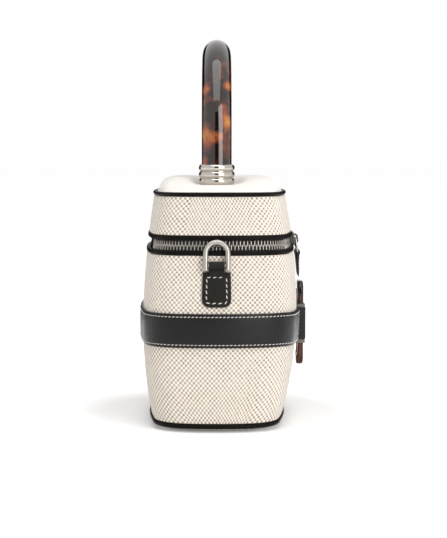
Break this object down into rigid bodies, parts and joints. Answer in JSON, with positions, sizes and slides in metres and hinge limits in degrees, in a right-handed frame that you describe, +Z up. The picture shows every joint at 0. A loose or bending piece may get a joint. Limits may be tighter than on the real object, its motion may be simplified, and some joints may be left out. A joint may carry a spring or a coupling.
{
  "type": "vanity bag",
  "caption": "Upright rounded box bag in woven canvas with dark leather trim, zip lid hinged at the back, arched handle, belt with upright buckle and end rings",
  "frame": {"origin": "on the underside of the base panel, in the plane of the handle and of both end rings", "axes": "+Z up; -Y to the front of the bag, which carries the buckle and the zip sliders; X along the bag's length"},
  "size_m": [0.192, 0.1101, 0.2491],
  "materials": {
    "canvas": "ivory and taupe basket weave",
    "panel_canvas": "pale woven",
    "leather": "dark brown smooth",
    "trim_leather": "dark brown smooth",
    "board": "bag stiffener board",
    "lining": "plain lining cloth",
    "tape": "woven zip tape",
    "teeth_metal": "dark metal",
    "silver": "polished",
    "tortoise": "glossy mottled brown resin"
  },
  "bodies": {
    "body": {"base_panel": "canvas", "base_board": "board", "base_piping": "trim_leather", "body_canvas_wall": "canvas", "body_stiffener": "board", "body_lining": "lining", "body_zip_binding": "trim_leather", "zip_tape_lower": "tape", "zip_teeth_lower": "teeth_metal", "hinge_gusset": "trim_leather", "belt_strap": "leather", "belt_fold_left": "leather", "belt_fold_right": "leather", "buckle_frame": "tortoise", "buckle_collar_upper_left": "silver", "buckle_collar_lower_left": "silver", "buckle_collar_upper_right": "silver", "buckle_collar_lower_right": "silver", "ring_patch_left": "trim_leather", "ring_patch_right": "trim_leather"},
    "lid": {"lid_canvas_wall": "canvas", "lid_stiffener": "board", "lid_lining": "lining", "lid_top_board": "board", "lid_top_panel": "panel_canvas", "lid_piping": "trim_leather", "lid_zip_binding": "trim_leather", "zip_tape_upper": "tape", "zip_teeth_upper": "teeth_metal", "handle_tube": "tortoise", "handle_ferrule_left": "silver", "handle_ferrule_right": "silver", "handle_screw_left": "silver", "handle_screw_right": "silver", "handle_backing_plate": "silver"},
    "slider_left": {"zip_slider_left": "silver"},
    "slider_right": {"zip_slider_right": "silver"},
    "link_left": {"pull_link_left": "silver"},
    "link_right": {"pull_link_right": "silver"},
    "tab_left": {"pull_tab_left": "leather"},
    "tab_right": {"pull_tab_right": "leather"},
    "ring_left": {"d_ring_left": "silver"},
    "ring_right": {"d_ring_right": "silver"}
  },
  "joints": [
    {"name": "lid_hinge", "type": "hinge", "parent": "body", "child": "lid", "pos_m": [0, 0.0455, 0.117], "axis": [-1, 0, 0], "range_deg": [0, 105], "deforming": ["hinge_gusset"]},
    {"name": "slider_left_travel", "type": "hinge", "parent": "body", "child": "slider_left", "pos_m": [0, 0.3499, 0.117], "axis": [0, 0, -1], "range_deg": [0, 7.5]},
    {"name": "slider_right_travel", "type": "hinge", "parent": "body", "child": "slider_right", "pos_m": [0, 0.3499, 0.117], "axis": [0, 0, 1], "range_deg": [0, 7.5]},
    {"name": "link_left_swing", "type": "hinge", "parent": "slider_left", "child": "link_left", "pos_m": [-0.00574, -0.05259, 0.11733], "axis": [-0.9999, 0.0142, 0], "range_deg": [0, 120]},
    {"name": "link_right_swing", "type": "hinge", "parent": "slider_right", "child": "link_right", "pos_m": [0.00574, -0.05259, 0.11733], "axis": [-0.9999, -0.0142, 0], "range_deg": [0, 120]},
    {"name": "tab_left_swing", "type": "hinge", "parent": "link_left", "child": "tab_left", "pos_m": [-0.00575, -0.05374, 0.10841], "axis": [-0.9999, 0.0142, 0], "range_deg": [0, 60]},
    {"name": "tab_right_swing", "type": "hinge", "parent": "link_right", "child": "tab_right", "pos_m": [0.00575, -0.05374, 0.10841], "axis": [-0.9999, -0.0142, 0], "range_deg": [0, 60]},
    {"name": "ring_left_swing", "type": "hinge", "parent": "body", "child": "ring_left", "pos_m": [-0.09333, 0, 0.10499], "axis": [0, -1, 0], "range_deg": [0, 165]},
    {"name": "ring_right_swing", "type": "hinge", "parent": "body", "child": "ring_right", "pos_m": [0.09333, 0, 0.10499], "axis": [0, 1, 0], "range_deg": [0, 165]}
  ]
}
